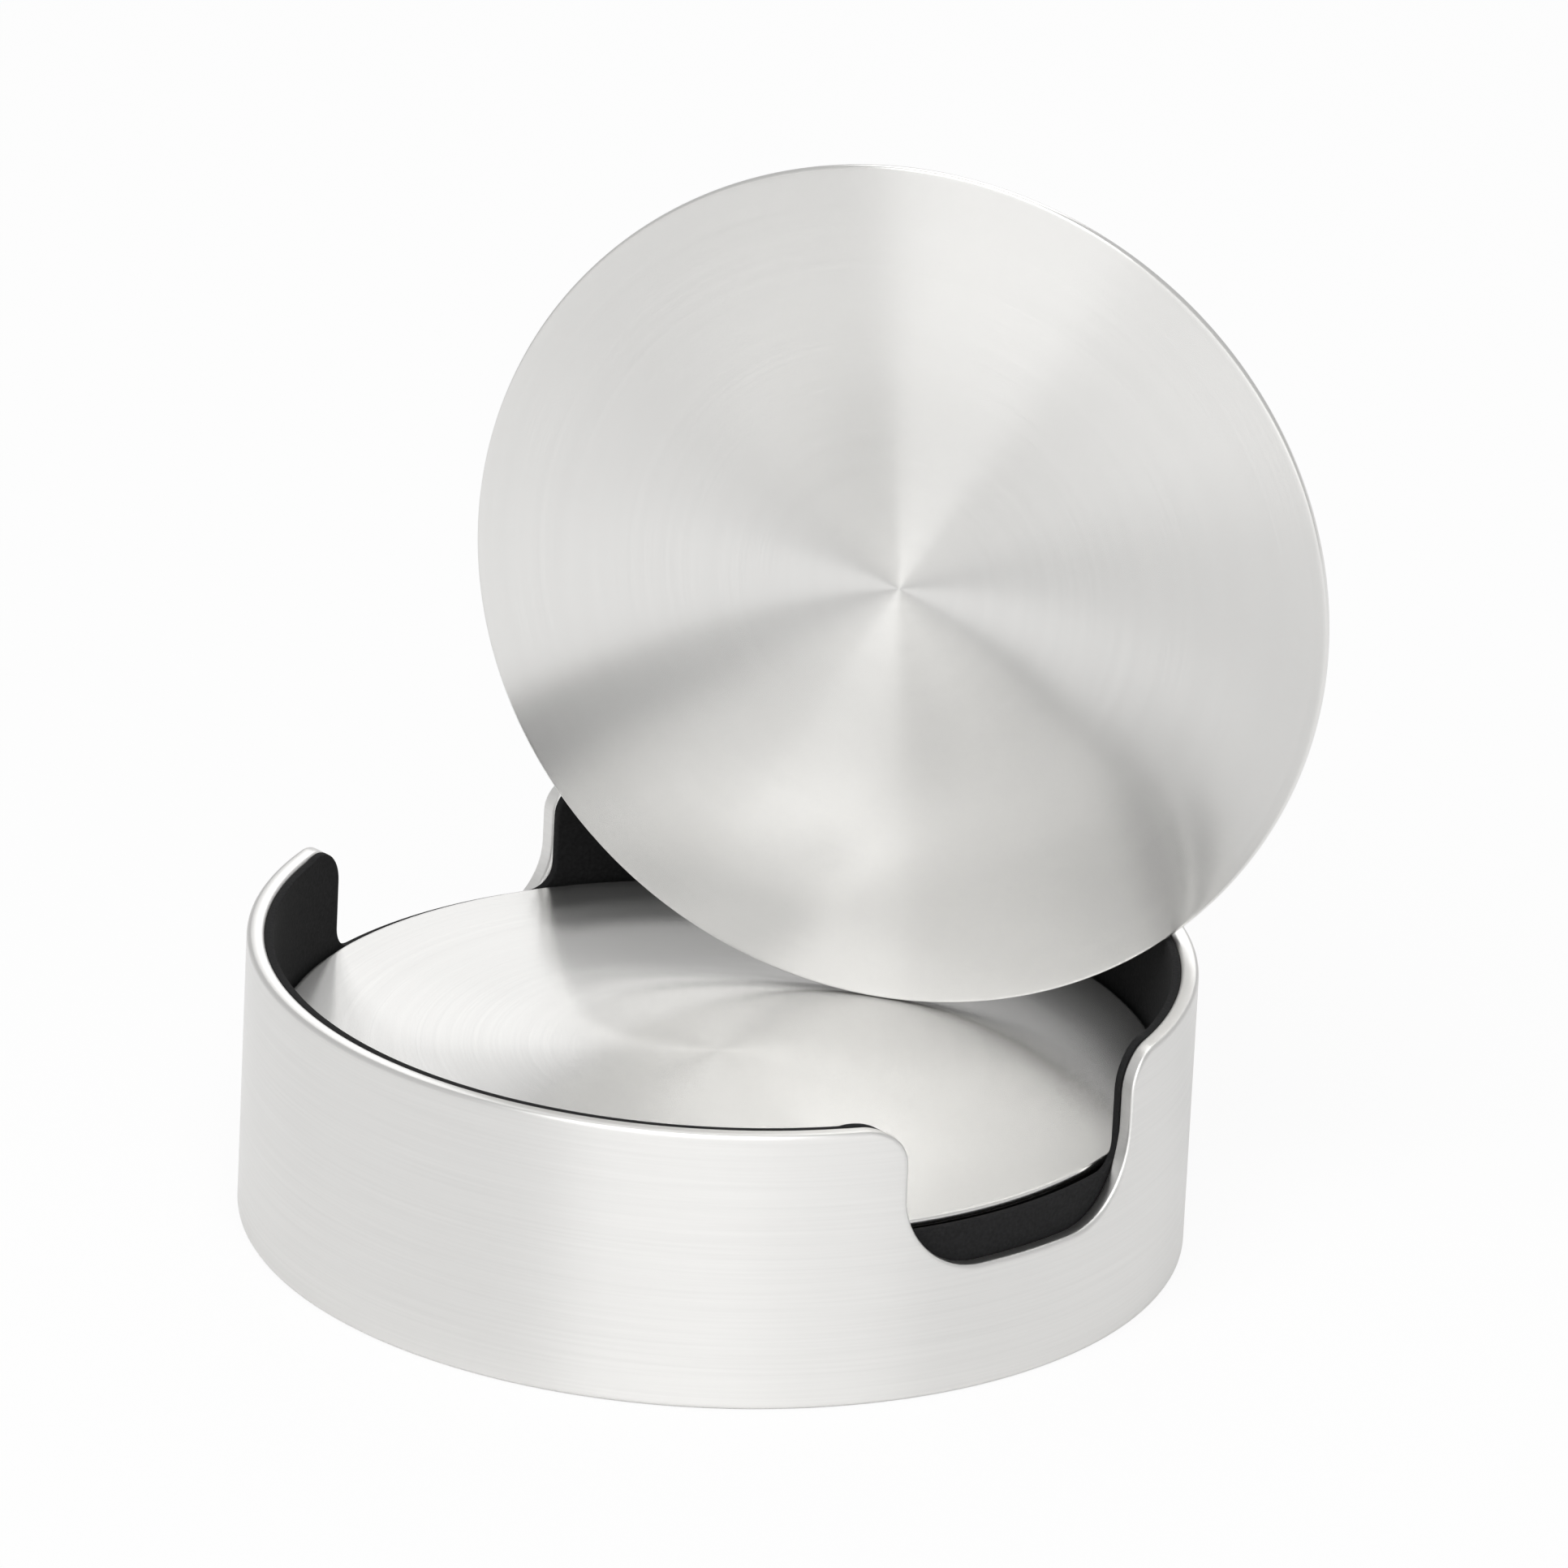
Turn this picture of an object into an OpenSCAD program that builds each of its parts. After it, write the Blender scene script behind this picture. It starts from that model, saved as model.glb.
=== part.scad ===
// Round drinks coasters in a lined steel holder with two finger notches.
// Origin at the centre of the holder's foot, +Z up, one notch facing -Y and one +Y.
// All but one of the coasters lie in the holder, and the last stands on edge on the stack.

/* [Holder] */
// Outside diameter of the steel wall
holder_d = 105; // [95:0.5:120]
// Height of the wall above the table
holder_h = 32.2; // [29:0.1:45]
// Thickness of the steel wall
wall_t = 2; // [1:0.1:3]
// Rounding on the wall's lip and foot
wall_edge_r = 0.5; // [0.2:0.05:0.9]
// Thickness of the steel base disc
base_t = 1; // [0.6:0.1:2]

/* [Finger notches] */
// Width between a notch's upright sides
notch_w = 32.2; // [24:0.1:40]
// Height of a notch's floor above the table
notch_floor_z = 14.6; // [10:0.1:18]
// Radius in a notch's lower corners
notch_corner_r = 9.5; // [5:0.1:11]
// Radius where a notch's sides run out into the lip
notch_lip_r = 4.5; // [2:0.1:7]

/* [Black linings] */
// Thickness of the lining on the inside of the wall
lining_t = 0.9; // [0.5:0.05:1.5]
// How far the lining stops below the lip
lining_drop = 0.2; // [0:0.05:1]
// Depth that the top coaster's edge stands clear of the lining in a notch
lining_reveal = 0.75; // [0.3:0.05:1.5]
// Radius in the lower corners of the lining's own notches
lining_corner_r = 3; // [1:0.1:5]
// Thickness of the lining on the holder's floor
floor_lining_t = 1; // [0.5:0.1:2]
// Thickness of the pad let into the underside
base_pad_t = 0.6; // [0.4:0.1:1.2]
// Gap between the underside pad and the wall's foot
base_pad_gap = 0.4; // [0.1:0.1:2]

/* [Coasters] */
// Number of coasters in the set, the standing one included
set_count = 6; // [3:1:8]
// Gap between a coaster's edge and the lining
coaster_gap = 0.6; // [0.3:0.05:1.5]
// Thickness of a coaster's steel plate
plate_t = 1; // [0.6:0.1:1.6]
// Rounding on a plate's rim
plate_edge_r = 0.25; // [0.1:0.05:0.28]
// Thickness of the black pad under a plate
pad_t = 2.4; // [1:0.1:2.6]
// How far a pad stops short of its plate's rim
pad_inset = 1.3; // [0.5:0.1:4]
// Air between one coaster and the next
seat_gap = 0.02; // [0.01:0.01:0.05]

/* [Standing coaster] */
// Direction that the standing coaster's back faces, turned from +X
stand_turn = 31.9; // [10:0.1:60]
// Distance from the holder's axis back to the standing coaster's face
stand_setback = 21.2; // [12:0.1:30]
// Gap between the standing coaster's rim and the lining
stand_gap = 0.07; // [0.05:0.01:1]
// Air between the standing coaster's rim and the stack
stand_lift = 0.05; // [0.02:0.01:0.2]

/* [Hidden] */
$fn = 96;
// Overrun of every cut past the faces that it goes through
cut_over = 1;

// Radii from the outside of the wall inwards
wall_r = holder_d / 2;
bore_r = wall_r - wall_t;
lined_r = bore_r - lining_t;
coaster_r = lined_r - coaster_gap;

// Heights from the table up through the holder's floor
base_top_z = base_pad_t + base_t;
stack_z = base_top_z + floor_lining_t;
coaster_t = pad_t + plate_t;
stack_pitch = coaster_t + seat_gap;
stack_count = set_count - 1;
stack_top_z = stack_z + stack_count * stack_pitch;

// The standing coaster rests low in the well, with its rim beside the lining's top edge
lining_top_z = holder_h - lining_drop;
lining_over_stand = lining_top_z - stack_top_z - stand_lift;
half_chord = sqrt(max(0, pow(coaster_r, 2) - pow(coaster_r - lining_over_stand, 2)));
stand_reach_r = lined_r - stand_gap;
stand_rim_back = stand_setback + plate_t - plate_edge_r;
stand_side = sqrt(pow(stand_reach_r, 2) - pow(stand_rim_back, 2)) - half_chord;

HOLDER_NODES = ["wall_ring", "base_disc", "wall_lining", "floor_lining", "base_pad"];
PLATE_NODES = [for (i = [1:set_count]) str("coaster_", i, "_plate")];
PAD_NODES = [for (i = [1:set_count]) str("coaster_", i, "_pad")];

// A ring or, with no inner radius, a disc, with its long edges rounded
module soft_edged_ring(inner_r, outer_r, height, edge_r) {
    ring_w = outer_r - inner_r;
    rims = inner_r > 0 ? [inner_r + edge_r, outer_r - edge_r] : [outer_r - edge_r];
    hub_r = inner_r > 0 ? inner_r + edge_r : 0;
    rotate_extrude() {
        translate([hub_r, 0])
            square([outer_r - edge_r - hub_r, height]);
        translate([inner_r, edge_r])
            square([ring_w, height - 2 * edge_r]);
        for (rim = rims, rim_z = [edge_r, height - edge_r])
            translate([rim, rim_z])
                circle(edge_r);
    }
}

// Front view of one finger notch, open above the lip and flared into it
module notch_outline(floor_z, corner_r) {
    half_w = notch_w / 2;
    corner_z = floor_z + corner_r;
    flare_z = holder_h - notch_lip_r;
    translate([-half_w, corner_z])
        square([notch_w, holder_h + cut_over - corner_z]);
    translate([corner_r - half_w, floor_z])
        square([notch_w - 2 * corner_r, 2 * corner_r]);
    for (side = [-1, 1]) {
        translate([side * (half_w - corner_r), corner_z])
            circle(corner_r);
        difference() {
            translate([side > 0 ? half_w : -half_w - notch_lip_r, flare_z])
                square([notch_lip_r, notch_lip_r + cut_over]);
            translate([side * (half_w + notch_lip_r), flare_z])
                circle(notch_lip_r);
        }
    }
}

// Both notches as one cut right through the holder along Y
module notch_cut(floor_z, corner_r) {
    rotate([90, 0, 0])
        linear_extrude(height = holder_d + 2 * cut_over, center = true)
            notch_outline(floor_z, corner_r);
}

// Steel wall, a length of tube with two notches let into its lip
module wall_ring() {
    color("silver")
        difference() {
            soft_edged_ring(bore_r, wall_r, holder_h, wall_edge_r);
            notch_cut(notch_floor_z, notch_corner_r);
        }
}

// Steel disc pressed into the foot of the wall
module base_disc() {
    color("silver")
        translate([0, 0, base_pad_t])
            cylinder(h = base_t, r = bore_r);
}

// Black foam band inside the wall, cut with the wall's notches but not so deep
module wall_lining() {
    lining_notch_z = stack_top_z - lining_reveal;
    color("#202020")
        difference() {
            translate([0, 0, base_top_z])
                cylinder(h = lining_top_z - base_top_z, r = bore_r);
            translate([0, 0, base_top_z - cut_over])
                cylinder(h = holder_h, r = lined_r);
            notch_cut(lining_notch_z, lining_corner_r);
        }
}

// Black foam disc on the holder's floor, inside the wall lining
module floor_lining() {
    color("#202020")
        translate([0, 0, base_top_z])
            cylinder(h = floor_lining_t, r = lined_r);
}

// Black non-slip disc let in under the base disc, flush with the wall's foot
module base_pad() {
    color("#282828")
        cylinder(h = base_pad_t, r = bore_r - base_pad_gap);
}

// Places a coaster: flat in the stack, counted from the bottom, or on edge on top
module in_place(number) {
    if (number <= stack_count)
        translate([0, 0, stack_z + seat_gap + (number - 1) * stack_pitch])
            children();
    else
        rotate([0, 0, stand_turn])
            translate([stand_setback + coaster_t, -stand_side, stack_top_z + stand_lift + coaster_r])
                rotate([0, -90, 0])
                    children();
}

// Turned steel plate of a coaster, on its pad
module coaster_plate(number) {
    color("lightgray")
        in_place(number)
            translate([0, 0, pad_t])
                soft_edged_ring(0, coaster_r, plate_t, plate_edge_r);
}

// Black foam pad stuck under a coaster's plate
module coaster_pad(number) {
    color("#202020")
        in_place(number)
            cylinder(h = pad_t, r = coaster_r - pad_inset);
}

wall_ring();
base_disc();
wall_lining();
floor_lining();
base_pad();
for (number = [1:set_count]) {
    coaster_plate(number);
    coaster_pad(number);
}
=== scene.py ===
import math

import bmesh
import bpy
from mathutils import Matrix, Quaternion, Vector


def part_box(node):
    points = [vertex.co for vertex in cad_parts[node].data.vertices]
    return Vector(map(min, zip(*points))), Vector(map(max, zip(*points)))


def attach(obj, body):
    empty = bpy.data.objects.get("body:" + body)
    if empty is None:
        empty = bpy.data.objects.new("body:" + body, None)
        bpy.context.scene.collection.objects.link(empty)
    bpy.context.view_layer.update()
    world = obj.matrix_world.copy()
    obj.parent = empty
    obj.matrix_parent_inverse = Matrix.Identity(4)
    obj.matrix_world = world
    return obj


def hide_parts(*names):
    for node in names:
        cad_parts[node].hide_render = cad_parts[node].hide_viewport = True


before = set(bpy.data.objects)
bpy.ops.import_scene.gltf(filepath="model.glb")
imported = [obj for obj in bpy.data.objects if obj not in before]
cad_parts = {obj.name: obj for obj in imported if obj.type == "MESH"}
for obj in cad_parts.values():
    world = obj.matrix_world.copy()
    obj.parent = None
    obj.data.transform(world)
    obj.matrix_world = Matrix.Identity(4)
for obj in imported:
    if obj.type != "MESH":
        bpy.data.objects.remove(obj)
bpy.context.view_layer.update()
scene = bpy.context.scene
mm = 0.001

# The camera stands well back off the front left of the set and looks down on it.
# Its long lens keeps the round shapes almost true, and it is rolled a little.
camera_place = Vector((-1028.7, -1154.6, 680.6)) * mm
camera_aim = Vector((16.8, 10.0, 44.2)) * mm
camera_roll = math.radians(2.81)

camera_data = bpy.data.cameras.new("camera")
camera_data.sensor_width = 36
camera_data.lens = 349.4
camera_data.clip_start = 0.1
camera_data.clip_end = 20
camera = bpy.data.objects.new("camera", camera_data)
camera.location = camera_place
camera.rotation_mode = "QUATERNION"
looking = (camera_aim - camera_place).to_track_quat("-Z", "Y")
camera.rotation_quaternion = looking @ Quaternion((0, 0, 1), camera_roll)
scene.collection.objects.link(camera)
scene.camera = camera


# The floor is a wide white sheet that the holder stands on. It takes the set's soft
# shadow, and the world behind it is the same white wherever the camera looks past it.
class Signal:
    """A shader socket that takes part in plain Python sums."""

    tree = None

    def __init__(self, socket):
        self.socket = socket

    @classmethod
    def node(cls, kind, settings=None, inputs=None, output=0):
        made = cls.tree.nodes.new("ShaderNode" + kind)
        for name, value in (settings or {}).items():
            setattr(made, name, value)
        for name, value in (inputs or {}).items():
            if isinstance(value, Signal):
                cls.tree.links.new(value.socket, made.inputs[name])
            else:
                made.inputs[name].default_value = value
        return cls(made.outputs[output]) if made.outputs else None

    def vectors(self, operation, other=(0, 0, 0), output="Vector"):
        values = {0: self, 1: other}
        return self.node("VectorMath", {"operation": operation}, values, output)

    def times(self, share):
        return self.node("VectorMath", {"operation": "SCALE"}, {0: self, "Scale": share})

    def __add__(self, other):
        return self.node("Math", {"operation": "ADD"}, {0: self, 1: other})

    def __mul__(self, other):
        return self.node("Math", {"operation": "MULTIPLY"}, {0: self, 1: other})

    __radd__ = __add__
    __rmul__ = __mul__


def new_material(name):
    made = bpy.data.materials.new(name)
    made.use_nodes = True
    made.node_tree.nodes.clear()
    Signal.tree = made.node_tree
    return made


def finish_material(shader):
    Signal.node("OutputMaterial", inputs={"Surface": shader})


floor_half = 3.0
floor_drop = 0.05 * mm
floor_grey = (0.92, 0.92, 0.92, 1)
floor_glow_share = 0.9
white = (1, 1, 1, 1)

floor_material = new_material("white_sheet")
floor_diffuse = Signal.node("BsdfDiffuse", inputs={"Color": floor_grey})
floor_white = Signal.node("Emission", inputs={"Color": white, "Strength": 1.0})
seen_directly = Signal.node("LightPath", output="Is Camera Ray")
finish_material(
    Signal.node(
        "MixShader",
        inputs={0: seen_directly * floor_glow_share, 1: floor_diffuse, 2: floor_white},
    )
)

shape = bmesh.new()
bmesh.ops.create_grid(shape, x_segments=1, y_segments=1, size=floor_half)
bmesh.ops.translate(shape, vec=(0, 0, -floor_drop), verts=shape.verts)
floor_mesh = bpy.data.meshes.new("floor")
shape.to_mesh(floor_mesh)
shape.free()
floor_mesh.materials.append(floor_material)
floor = bpy.data.objects.new("floor", floor_mesh)
scene.collection.objects.link(floor)

world = bpy.data.worlds.new("studio")
world.use_nodes = True
world.node_tree.nodes.clear()
Signal.tree = world.node_tree
room_light = 0.55
seen_directly = Signal.node("LightPath", output="Is Camera Ray")
room_level = room_light + (1 - room_light) * seen_directly
room = Signal.node("Background", inputs={"Color": white, "Strength": room_level})
Signal.node("OutputWorld", inputs={"Surface": room})
scene.world = world
scene.view_settings.view_transform = "Standard"


# Three soft boxes light the set: a big one high on the left, a wide one low in front and a
# small one behind. They draw the bright fans on the turned steel.
def soft_box(name, azimuth, height, reach, half_wide, half_tall, level):
    """A lamp at angles in degrees seen from the set, whose face has a level of white."""
    turn, tilt = math.radians(azimuth), math.radians(height)
    away = Vector(
        (math.cos(tilt) * math.sin(turn), -math.cos(tilt) * math.cos(turn), math.sin(tilt))
    )
    lamp = bpy.data.lights.new(name, "AREA")
    lamp.shape = "RECTANGLE"
    lamp.size = 2 * reach * math.tan(math.radians(half_wide))
    lamp.size_y = 2 * reach * math.tan(math.radians(half_tall))
    lamp.energy = math.pi * level * lamp.size * lamp.size_y
    box = bpy.data.objects.new(name, lamp)
    box.location = away * reach
    box.rotation_mode = "QUATERNION"
    box.rotation_quaternion = (-away).to_track_quat("-Z", "Y")
    box.visible_camera = False
    scene.collection.objects.link(box)


soft_box("top_box", azimuth=304, height=60, reach=1.5, half_wide=20, half_tall=18, level=2.9)
soft_box("front_box", azimuth=326, height=11, reach=2.2, half_wide=39, half_tall=11, level=0.95)
soft_box("back_box", azimuth=132, height=36, reach=1.5, half_wide=12, half_tall=20, level=1.0)


# The steel wall is a length of tube with two finger notches cut straight through it, and
# the base disc is pressed into its foot. Its edges are eased all round, and its outside is
# brushed round the ring. It is cut out here as a flat strip and then rolled.
outer_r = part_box("wall_ring")[1].x
wall_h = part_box("wall_ring")[1].z
bore_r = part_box("base_disc")[1].x
notch_half_w = 16.1 * mm
notch_floor_z = 14.6 * mm
notch_corner_r = 9.5 * mm
notch_lip_r = 4.5 * mm
wall_edge_r = 0.5 * mm
wall_edge_steps = 4
wall_cuts = 240
arc_steps = 16

# Fineness of every ring and disc: the band round its flat faces, its welds and its corners
band_w = 0.25 * mm
weld_gap = 0.002 * mm
end_reach = 0.1 * mm
square_corner = math.radians(80)
smooth_corner = math.radians(35)
flat_face = 0.999

# How near the notches the strip's depth runs straight through them
straight_start = 0.3
straight_span = 0.5


def arc(centre, radius, start, end):
    """Points round a centre from one angle to another, in degrees."""
    points = []
    for step in range(arc_steps + 1):
        angle = math.radians(start + (end - start) * step / arc_steps)
        points.append(centre + radius * Vector((math.cos(angle), math.sin(angle))))
    return points


def notch_side(floor_z, corner_r, lip_z):
    """Outline from the middle of a notch's floor out to the lip, as x and z."""
    corner = Vector((notch_half_w - corner_r, floor_z + corner_r))
    flare = Vector((notch_half_w + notch_lip_r, wall_h - notch_lip_r))
    lip_angle = 90 - math.degrees(math.acos(1 - (wall_h - lip_z) / notch_lip_r))
    return arc(corner, corner_r, -90, 0) + arc(flare, notch_lip_r, 180, lip_angle)


def strip_outline(outer_r, low_z, side):
    """The flat strip's outline, with one notch at its middle and one shared by its ends."""
    half_turn = math.pi * outer_r
    near = [Vector((outer_r * math.asin(p.x / outer_r), p.y)) for p in side]
    far = [Vector((half_turn - p.x, p.y)) for p in reversed(near)]
    right = near + far + [Vector((half_turn, side[0].y)), Vector((half_turn, low_z))]
    left = [Vector((-p.x, p.y)) for p in reversed(right)]
    return left + right


def rolled(turn, outer_r, radius, height):
    """Where a point of the strip lands on the ring, from its angle off the front notch."""
    straight = math.asin(max(-1, min(1, outer_r * math.sin(turn) / radius)))
    if abs(turn) > math.pi / 2:
        straight = math.copysign(math.pi, turn) - straight
    share = (abs(math.cos(turn)) - straight_start) / straight_span
    share = max(0.0, min(1.0, share))
    turn += (straight - turn) * share * share * (3 - 2 * share)
    return Vector((radius * math.sin(turn), -radius * math.cos(turn), height))


def eased(shape, edges, edge_r, edge_steps):
    """Rounds edges of a shape."""
    bmesh.ops.bevel(
        shape, geom=edges, offset=edge_r, segments=edge_steps, profile=0.5,
        affect="EDGES", material=-1,
    )


def banded(shape, faces):
    """Rings broad faces with a narrow band, which keeps their shading flat up to the edges."""
    bmesh.ops.inset_region(shape, faces=faces, thickness=band_w, use_even_offset=True)


def thickened(shape, depth):
    """Gives a flat shape its thickness."""
    back = bmesh.ops.extrude_face_region(shape, geom=shape.faces[:])["geom"]
    moved = [part for part in back if isinstance(part, bmesh.types.BMVert)]
    bmesh.ops.translate(shape, vec=depth, verts=moved)
    bmesh.ops.recalc_face_normals(shape, faces=shape.faces)


def rolled_strip(inner_r, outer_r, low_z, lip_z, floor_z, corner_r, edge_r, edge_steps):
    """A notched strip with eased edges, cut flat and rolled to a closed ring."""
    half_turn = math.pi * outer_r
    outline = strip_outline(outer_r, low_z, notch_side(floor_z, corner_r, lip_z))
    strip = bmesh.new()
    strip.faces.new([strip.verts.new((p.x, 0, p.y)) for p in outline])
    bmesh.ops.remove_doubles(strip, verts=strip.verts, dist=weld_gap / 2)
    thickened(strip, (0, outer_r - inner_r, 0))
    ends = [f for f in strip.faces if abs(f.calc_center_median().x) > half_turn - end_reach]
    bmesh.ops.delete(strip, geom=ends, context="FACES_ONLY")
    edges = [
        e for e in strip.edges
        if len(e.link_faces) == 2 and e.calc_face_angle() > square_corner
        and e.verts[0].co.y == e.verts[1].co.y
    ]
    eased(strip, edges, edge_r, edge_steps)
    banded(strip, [f for f in strip.faces if abs(f.normal.y) > flat_face])
    for step in range(1, wall_cuts):
        bmesh.ops.bisect_plane(
            strip, geom=strip.verts[:] + strip.edges[:] + strip.faces[:], dist=weld_gap,
            plane_co=(half_turn * (2 * step / wall_cuts - 1), 0, 0), plane_no=(1, 0, 0),
        )
    for vertex in strip.verts:
        along, depth, height = vertex.co
        vertex.co = rolled(along / outer_r, outer_r, outer_r - depth, height)
    bmesh.ops.remove_doubles(strip, verts=strip.verts, dist=weld_gap)
    bmesh.ops.recalc_face_normals(strip, faces=strip.faces)
    return strip


def new_piece(name, shape, material, body, node):
    """Turns a shape into a piece of the set that rides on a body."""
    for face in shape.faces:
        face.smooth = True
    for edge in shape.edges:
        edge.smooth = len(edge.link_faces) == 2 and edge.calc_face_angle() < smooth_corner
    mesh = bpy.data.meshes.new(name)
    shape.to_mesh(mesh)
    shape.free()
    mesh.materials.append(material)
    piece = bpy.data.objects.new(name, mesh)
    scene.collection.objects.link(piece)
    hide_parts(node)
    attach(piece, body)
    return piece


# Fine grooves tip the steel to both sides of its face, most of them only a little. The
# steel is mixed from as many flanks, which together spread the light across the grooves.
groove_slope = 0.45
steepest_slope = 0.9
lines_per_metre = 3000.0
line_depth = 0.05
steel_shade = (0.86, 0.854, 0.838)


def shaded(shade, level):
    """A colour whose strength follows a signal."""
    colour = Signal.node("CombineXYZ", inputs={"X": shade[0], "Y": shade[1], "Z": shade[2]})
    return colour.times(level)


def grooved_steel(roughness, direction, across, flanks):
    """Steel with grooves that tip its face along a direction, and lines counted across."""
    lines = Signal.node("TexNoise", inputs={"Vector": across, "Scale": 1.0, "Detail": 2.0})
    shade = shaded(steel_shade, 1 - line_depth + 2 * line_depth * lines)
    normal = Signal.node("NewGeometry", output="Normal")
    steel, total = None, 0
    for number in range(flanks):
        slope = steepest_slope * (2 * number / (flanks - 1) - 1)
        share = 1 / (1 + (slope / groove_slope) ** 2) ** 2
        tipped = normal.vectors("ADD", direction.times(slope)).vectors("NORMALIZE")
        flank = Signal.node(
            "BsdfPrincipled",
            inputs={"Base Color": shade, "Metallic": 1.0, "Roughness": roughness, "Normal": tipped},
        )
        total += share
        steel = flank if number == 0 else Signal.node(
            "MixShader", inputs={0: share / total, 1: steel, 2: flank}
        )
    finish_material(steel)


wall_line_rate = (40.0, 40.0, lines_per_metre)
wall_steel = new_material("brushed_wall_steel")
place = Signal.node("TexCoord", output="Object")
upwards = Signal.node("CombineXYZ", inputs={"Z": 1.0})
grooved_steel(
    roughness=0.3, direction=upwards, across=place.vectors("MULTIPLY", wall_line_rate), flanks=9
)

wall = rolled_strip(
    bore_r, outer_r, 0, wall_h, notch_floor_z, notch_corner_r, wall_edge_r, wall_edge_steps
)
new_piece("steel_wall", wall, wall_steel, "holder", "wall_ring")
base_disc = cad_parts["base_disc"]
base_disc.data.materials.clear()
base_disc.data.materials.append(wall_steel)


# The lining is a band of black foam stuck inside the wall. Its notches are shallower
# than the wall's, so the foam still backs the stack where the wall is cut away.
lining_low, lining_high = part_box("wall_lining")
lined_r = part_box("floor_lining")[1].x
lining_notch_z = 18.95 * mm
lining_corner_r = 3 * mm
foam_edge_r = 0.12 * mm
foam_edge_steps = 2
foam_black = (0.018, 0.018, 0.0188)
dark_cell_level = 0.2

foam = new_material("black_foam")
place = Signal.node("TexCoord", output="Object")
cells = Signal.node("TexNoise", inputs={"Vector": place, "Scale": 2500.0, "Detail": 3.0})
dimples = Signal.node(
    "Bump", inputs={"Height": cells, "Strength": 0.4, "Distance": 0.1 * mm}, output="Normal"
)
finish_material(
    Signal.node(
        "BsdfPrincipled",
        inputs={
            "Base Color": shaded(foam_black, cells + dark_cell_level), "Roughness": 0.9,
            "Specular IOR Level": 0.25, "Normal": dimples,
        },
    )
)


def new_foam(name, shape, body, node):
    """Turns a shape into a firm foam piece that rides on a body."""
    new_piece(name, shape, foam, body, node)


lining = rolled_strip(
    lined_r, bore_r, lining_low.z, lining_high.z,
    lining_notch_z, lining_corner_r, foam_edge_r, foam_edge_steps,
)
new_foam("foam_wall_lining", lining, "holder", "wall_lining")


# The holder's floor is lined with a disc of the same foam, cut to fit inside the wall's
# lining. The bottom coaster lies on it.
disc_steps = 256


def disc(low, high, edge_r, edge_steps):
    """A flat round slab about the upright axis that fills a box, with eased rims."""
    shape = bmesh.new()
    bmesh.ops.create_circle(shape, cap_ends=True, radius=(high.x - low.x) / 2, segments=disc_steps)
    thickened(shape, (0, 0, high.z - low.z))
    rims = [e for e in shape.edges if e.calc_face_angle() > square_corner]
    eased(shape, rims, edge_r, edge_steps)
    banded(shape, [f for f in shape.faces if abs(f.normal.z) > flat_face])
    bmesh.ops.translate(shape, vec=(0, 0, low.z), verts=shape.verts)
    return shape


floor_foam = disc(*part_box("floor_lining"), foam_edge_r, foam_edge_steps)
new_foam("foam_floor_lining", floor_foam, "holder", "floor_lining")


# A thin disc of black rubber is stuck under the holder, level with the foot of its wall.
# Its face is smooth and dull, and it keeps the steel from scratching the table.
rubber_black = (0.022, 0.022, 0.023, 1)
rubber_roughness = 0.52
grain_depth = 0.16

rubber = new_material("black_rubber")
place = Signal.node("TexCoord", output="Object")
grain = Signal.node("TexNoise", inputs={"Vector": place, "Scale": 900.0, "Detail": 2.0})
finish_material(
    Signal.node(
        "BsdfPrincipled",
        inputs={
            "Base Color": rubber_black, "Roughness": rubber_roughness + grain_depth * grain,
            "Specular IOR Level": 0.4,
        },
    )
)
foot_pad = disc(*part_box("base_pad"), foam_edge_r, foam_edge_steps)
new_piece("rubber_foot_pad", foot_pad, rubber, "holder", "base_pad")


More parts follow.
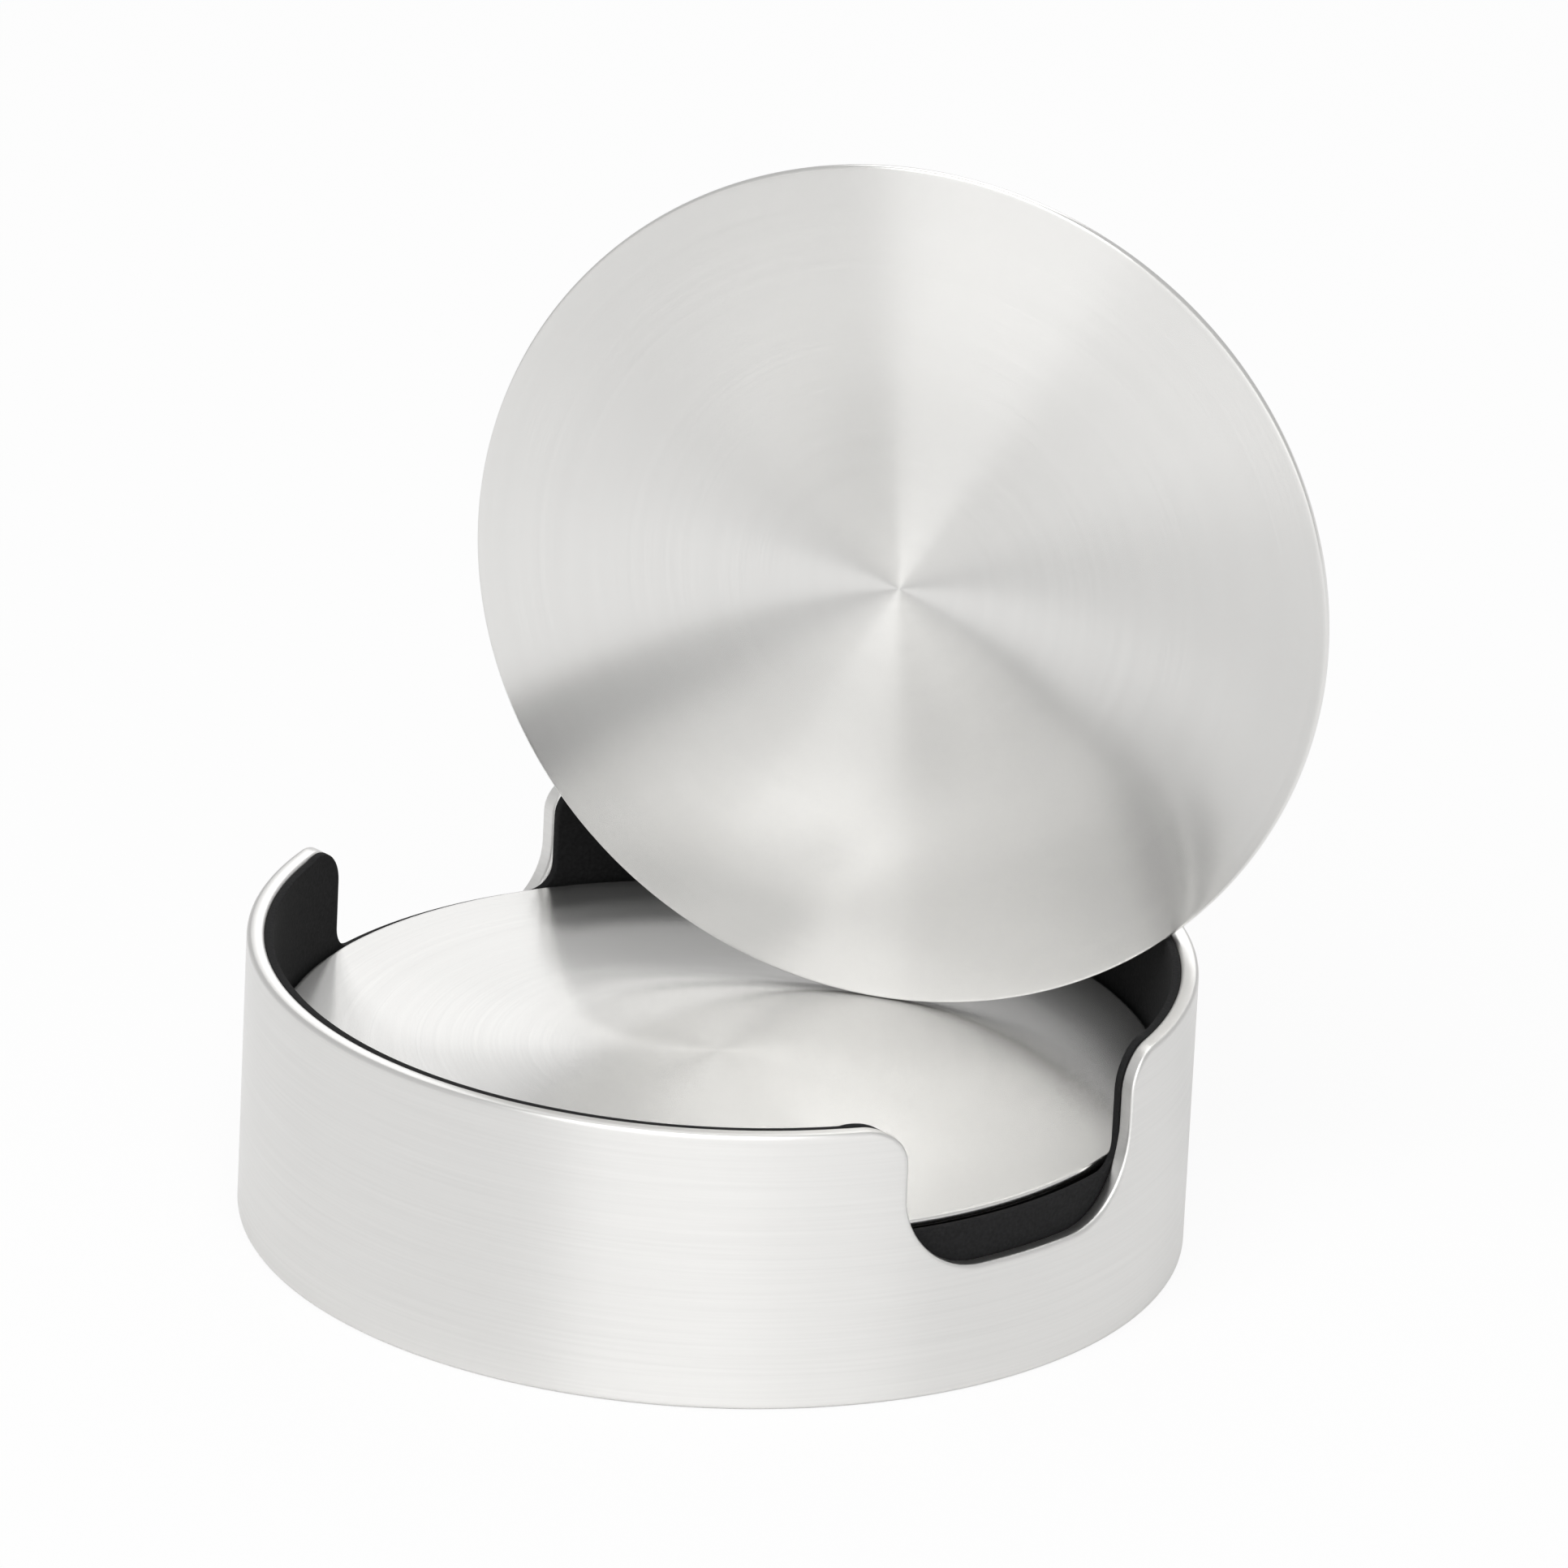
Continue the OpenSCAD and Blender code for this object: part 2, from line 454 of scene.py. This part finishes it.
# The coasters are discs of steel with a turned face, each on its own black foam pad.
# Five lie in the holder and the last stands on edge, as the set's nodes place them.
coaster_count = 6
stand_turn = math.radians(31.9)
plate_edge_r = 0.25 * mm
plate_edge_steps = 3
plate_low, plate_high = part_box("coaster_1_plate")
pad_low, pad_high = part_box("coaster_1_pad")
plate_r, plate_t = plate_high.x, plate_high.z - plate_low.z
pad_r, pad_t = pad_high.x, pad_high.z - pad_low.z

# How much a turned line changes on its way round
line_drift = 0.8


def turned_steel(name, centre, axis):
    """Steel turned about an axis through a centre, with its grooves in rings."""
    made = new_material(name)
    place = Signal.node("TexCoord", output="Object").vectors("SUBTRACT", tuple(centre))
    spoke = place.vectors("SUBTRACT", place.vectors("PROJECT", tuple(axis)))
    outward = spoke.vectors("NORMALIZE")
    ring = spoke.vectors("LENGTH", output="Value") * lines_per_metre
    across = outward.times(line_drift).vectors("ADD", Signal.node("CombineXYZ", inputs={"X": ring}))
    grooved_steel(roughness=0.2, direction=outward, across=across, flanks=11)
    return made


flat_steel = turned_steel("turned_steel_flat", (0, 0, 0), (0, 0, 1))
for number in range(1, coaster_count + 1):
    body = f"coaster_{number}"
    plate_box, pad_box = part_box(f"{body}_plate"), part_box(f"{body}_pad")
    steel, placing = flat_steel, Matrix.Identity(4)
    if number == coaster_count:
        facing = Vector((-math.cos(stand_turn), -math.sin(stand_turn), 0))
        face_middle = (plate_box[0] + plate_box[1]) / 2 + facing * plate_t / 2
        on_edge = Matrix.Rotation(stand_turn, 4, "Z") @ Matrix.Rotation(-math.pi / 2, 4, "Y")
        placing = Matrix.Translation(face_middle) @ on_edge
        plate_box = Vector((-plate_r, 0, -plate_t)), Vector((plate_r, 0, 0))
        pad_box = Vector((-pad_r, 0, -plate_t - pad_t)), Vector((pad_r, 0, -plate_t))
        steel = turned_steel("turned_steel_standing", face_middle, facing)
    plate = disc(*plate_box, plate_edge_r, plate_edge_steps)
    pad = disc(*pad_box, foam_edge_r, foam_edge_steps)
    for shape in (plate, pad):
        bmesh.ops.transform(shape, matrix=placing, verts=shape.verts)
    new_piece(f"steel_plate_{number}", plate, steel, body, f"{body}_plate")
    new_foam(f"foam_pad_{number}", pad, body, f"{body}_pad")
